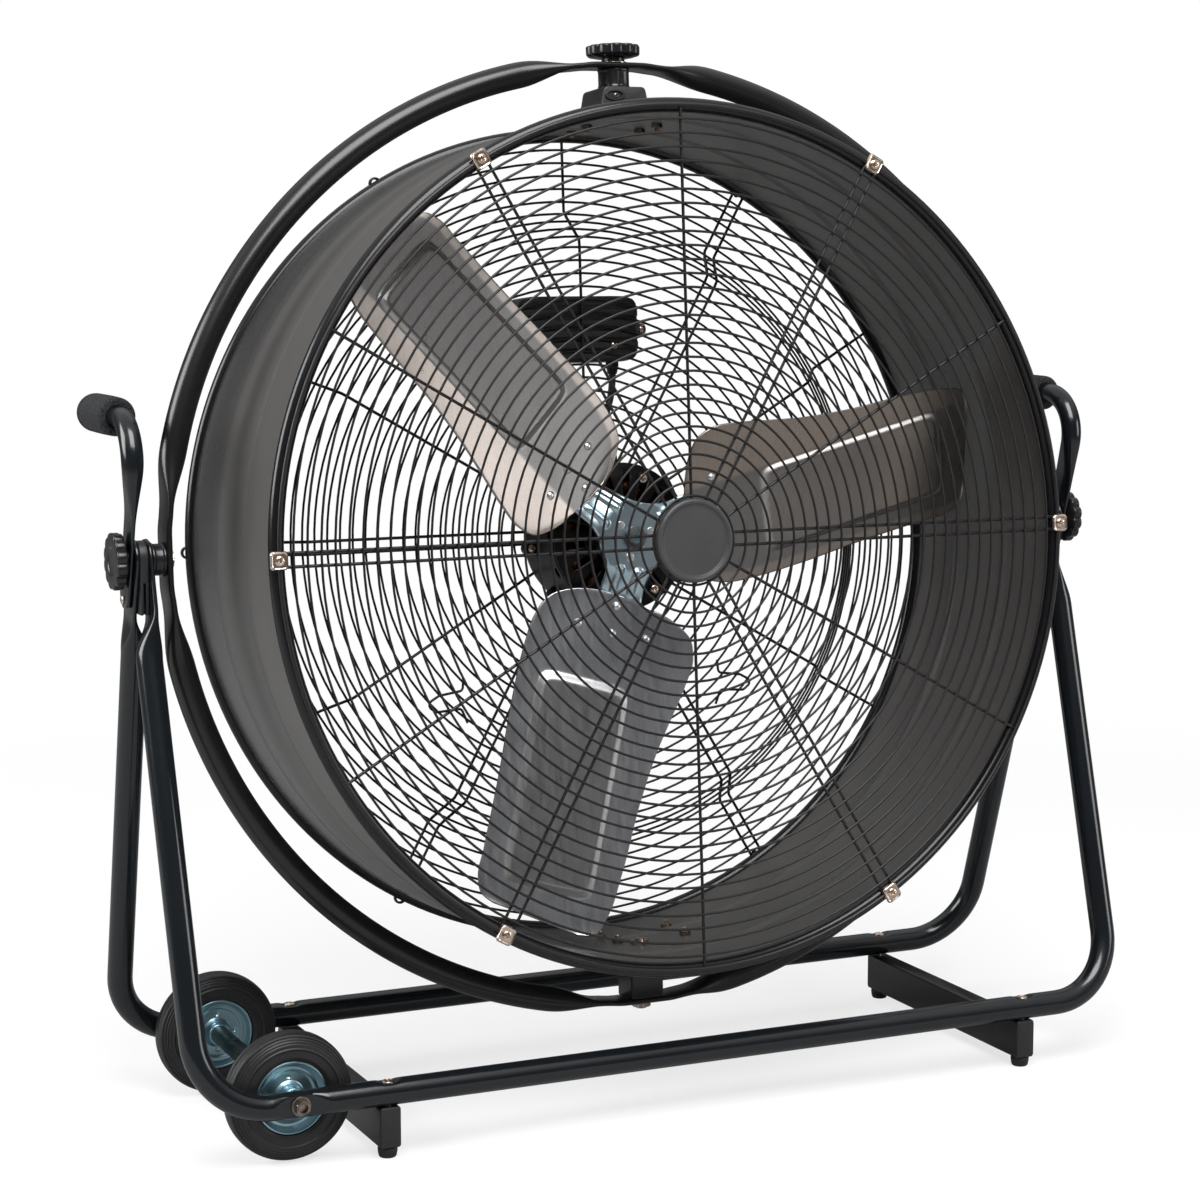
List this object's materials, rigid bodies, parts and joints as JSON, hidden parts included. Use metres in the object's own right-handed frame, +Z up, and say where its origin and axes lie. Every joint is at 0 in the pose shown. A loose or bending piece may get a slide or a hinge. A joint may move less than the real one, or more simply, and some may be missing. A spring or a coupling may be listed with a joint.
{
  "type": "drum fan",
  "caption": "Large drum fan on a tube stand: a guarded round drum swivels in an orbit ring that tilts between the legs, with wheels at one end, hand grips and clamp knobs.",
  "frame": {"origin": "on the floor under the middle of the bounding box, halfway between the front and rear bars", "axes": "+X to the right seen from the front, +Y from the front to the back, +Z up"},
  "size_m": [1.0182, 0.3532, 1.0026],
  "materials": {
    "stand_paint": "gloss",
    "satin_paint": "satin",
    "drum_paint": "satin",
    "guard_wire": "satin",
    "black_plastic": "satin",
    "foam": "matte",
    "rubber": "matte",
    "tyre": "matte",
    "zinc": "semi-gloss",
    "nickel": "gloss",
    "aluminium": "satin",
    "copper": "satin"
  },
  "bodies": {
    "stand": {"front_frame": "stand_paint", "rear_frame": "stand_paint", "cross_bar_left": "satin_paint", "cross_bar_right": "satin_paint", "foot_front_left": "rubber", "foot_front_right": "rubber", "foot_rear_left": "rubber", "foot_rear_right": "rubber", "frame_bolt_front_left": "nickel", "frame_bolt_front_right": "nickel", "frame_bolt_rear_left": "nickel", "frame_bolt_rear_right": "nickel", "saddle_left": "black_plastic", "saddle_right": "black_plastic", "side_spacer_left": "black_plastic", "side_spacer_right": "black_plastic", "pivot_bolt_left": "satin_paint", "pivot_bolt_right": "satin_paint", "handle_left": "stand_paint", "handle_right": "stand_paint", "grip_left": "foam", "grip_right": "foam", "axle_tube": "satin_paint", "axle_bolt": "nickel"},
    "ring": {"orbit_ring": "satin_paint"},
    "drum": {"drum_shell": "drum_paint", "front_guard": "guard_wire", "rear_guard": "guard_wire", "guard_cap": "black_plastic", "guard_clip_1": "nickel", "guard_clip_2": "nickel", "guard_clip_3": "nickel", "guard_clip_4": "nickel", "guard_clip_5": "nickel", "guard_clip_6": "nickel", "top_bracket": "black_plastic", "top_spacer": "black_plastic", "top_bolt": "nickel", "bottom_bracket": "satin_paint", "bottom_bolt": "nickel", "motor_can": "satin_paint", "motor_bell": "satin_paint", "stator": "copper", "control_box": "black_plastic", "cable_gland": "nickel", "motor_lead": "rubber"},
    "rotor": {"motor_shaft": "zinc", "hub_spider": "zinc", "blade_1": "aluminium", "blade_2": "aluminium", "blade_3": "aluminium"},
    "wheel_front": {"tyre_front": "tyre", "wheel_disc_front": "zinc"},
    "wheel_rear": {"tyre_rear": "tyre", "wheel_disc_rear": "zinc"},
    "tilt_knob_left": {"knob_left": "black_plastic"},
    "tilt_knob_right": {"knob_right": "black_plastic"},
    "swivel_knob": {"knob_top": "black_plastic"},
    "dial": {"speed_dial": "black_plastic"}
  },
  "joints": [
    {"name": "ring_tilt", "type": "hinge", "parent": "stand", "child": "ring", "pos_m": [0, 0, 0.533], "axis": [1, 0, 0], "range_deg": [-180, 180]},
    {"name": "drum_swivel", "type": "hinge", "parent": "ring", "child": "drum", "pos_m": [0, 0, 0.533], "axis": [0, 0.0732, 0.9973], "range_deg": [-180, 180]},
    {"name": "rotor_spin", "type": "hinge", "parent": "drum", "child": "rotor", "pos_m": [0, 0, 0.533], "axis": [0, 0.9973, -0.0732], "continuous": true},
    {"name": "wheel_front_spin", "type": "hinge", "parent": "stand", "child": "wheel_front", "pos_m": [-0.386, -0.1122, 0.06], "axis": [0, 1, 0], "continuous": true},
    {"name": "wheel_rear_spin", "type": "hinge", "parent": "stand", "child": "wheel_rear", "pos_m": [-0.386, 0.1122, 0.06], "axis": [0, 1, 0], "continuous": true},
    {"name": "tilt_knob_left_turn", "type": "hinge", "parent": "stand", "child": "tilt_knob_left", "pos_m": [-0.5, 0, 0.533], "axis": [-1, 0, 0], "range_deg": [0, 360]},
    {"name": "tilt_knob_right_turn", "type": "hinge", "parent": "stand", "child": "tilt_knob_right", "pos_m": [0.5, 0, 0.533], "axis": [1, 0, 0], "range_deg": [0, 360]},
    {"name": "swivel_knob_turn", "type": "hinge", "parent": "drum", "child": "swivel_knob", "pos_m": [0, 0.03391, 0.99476], "axis": [0, 0.0732, 0.9973], "range_deg": [0, 360]},
    {"name": "speed_dial_turn", "type": "hinge", "parent": "drum", "child": "dial", "pos_m": [0, 0.16457, 0.72596], "axis": [0, -0.9973, 0.0732], "range_deg": [0, 135]}
  ]
}
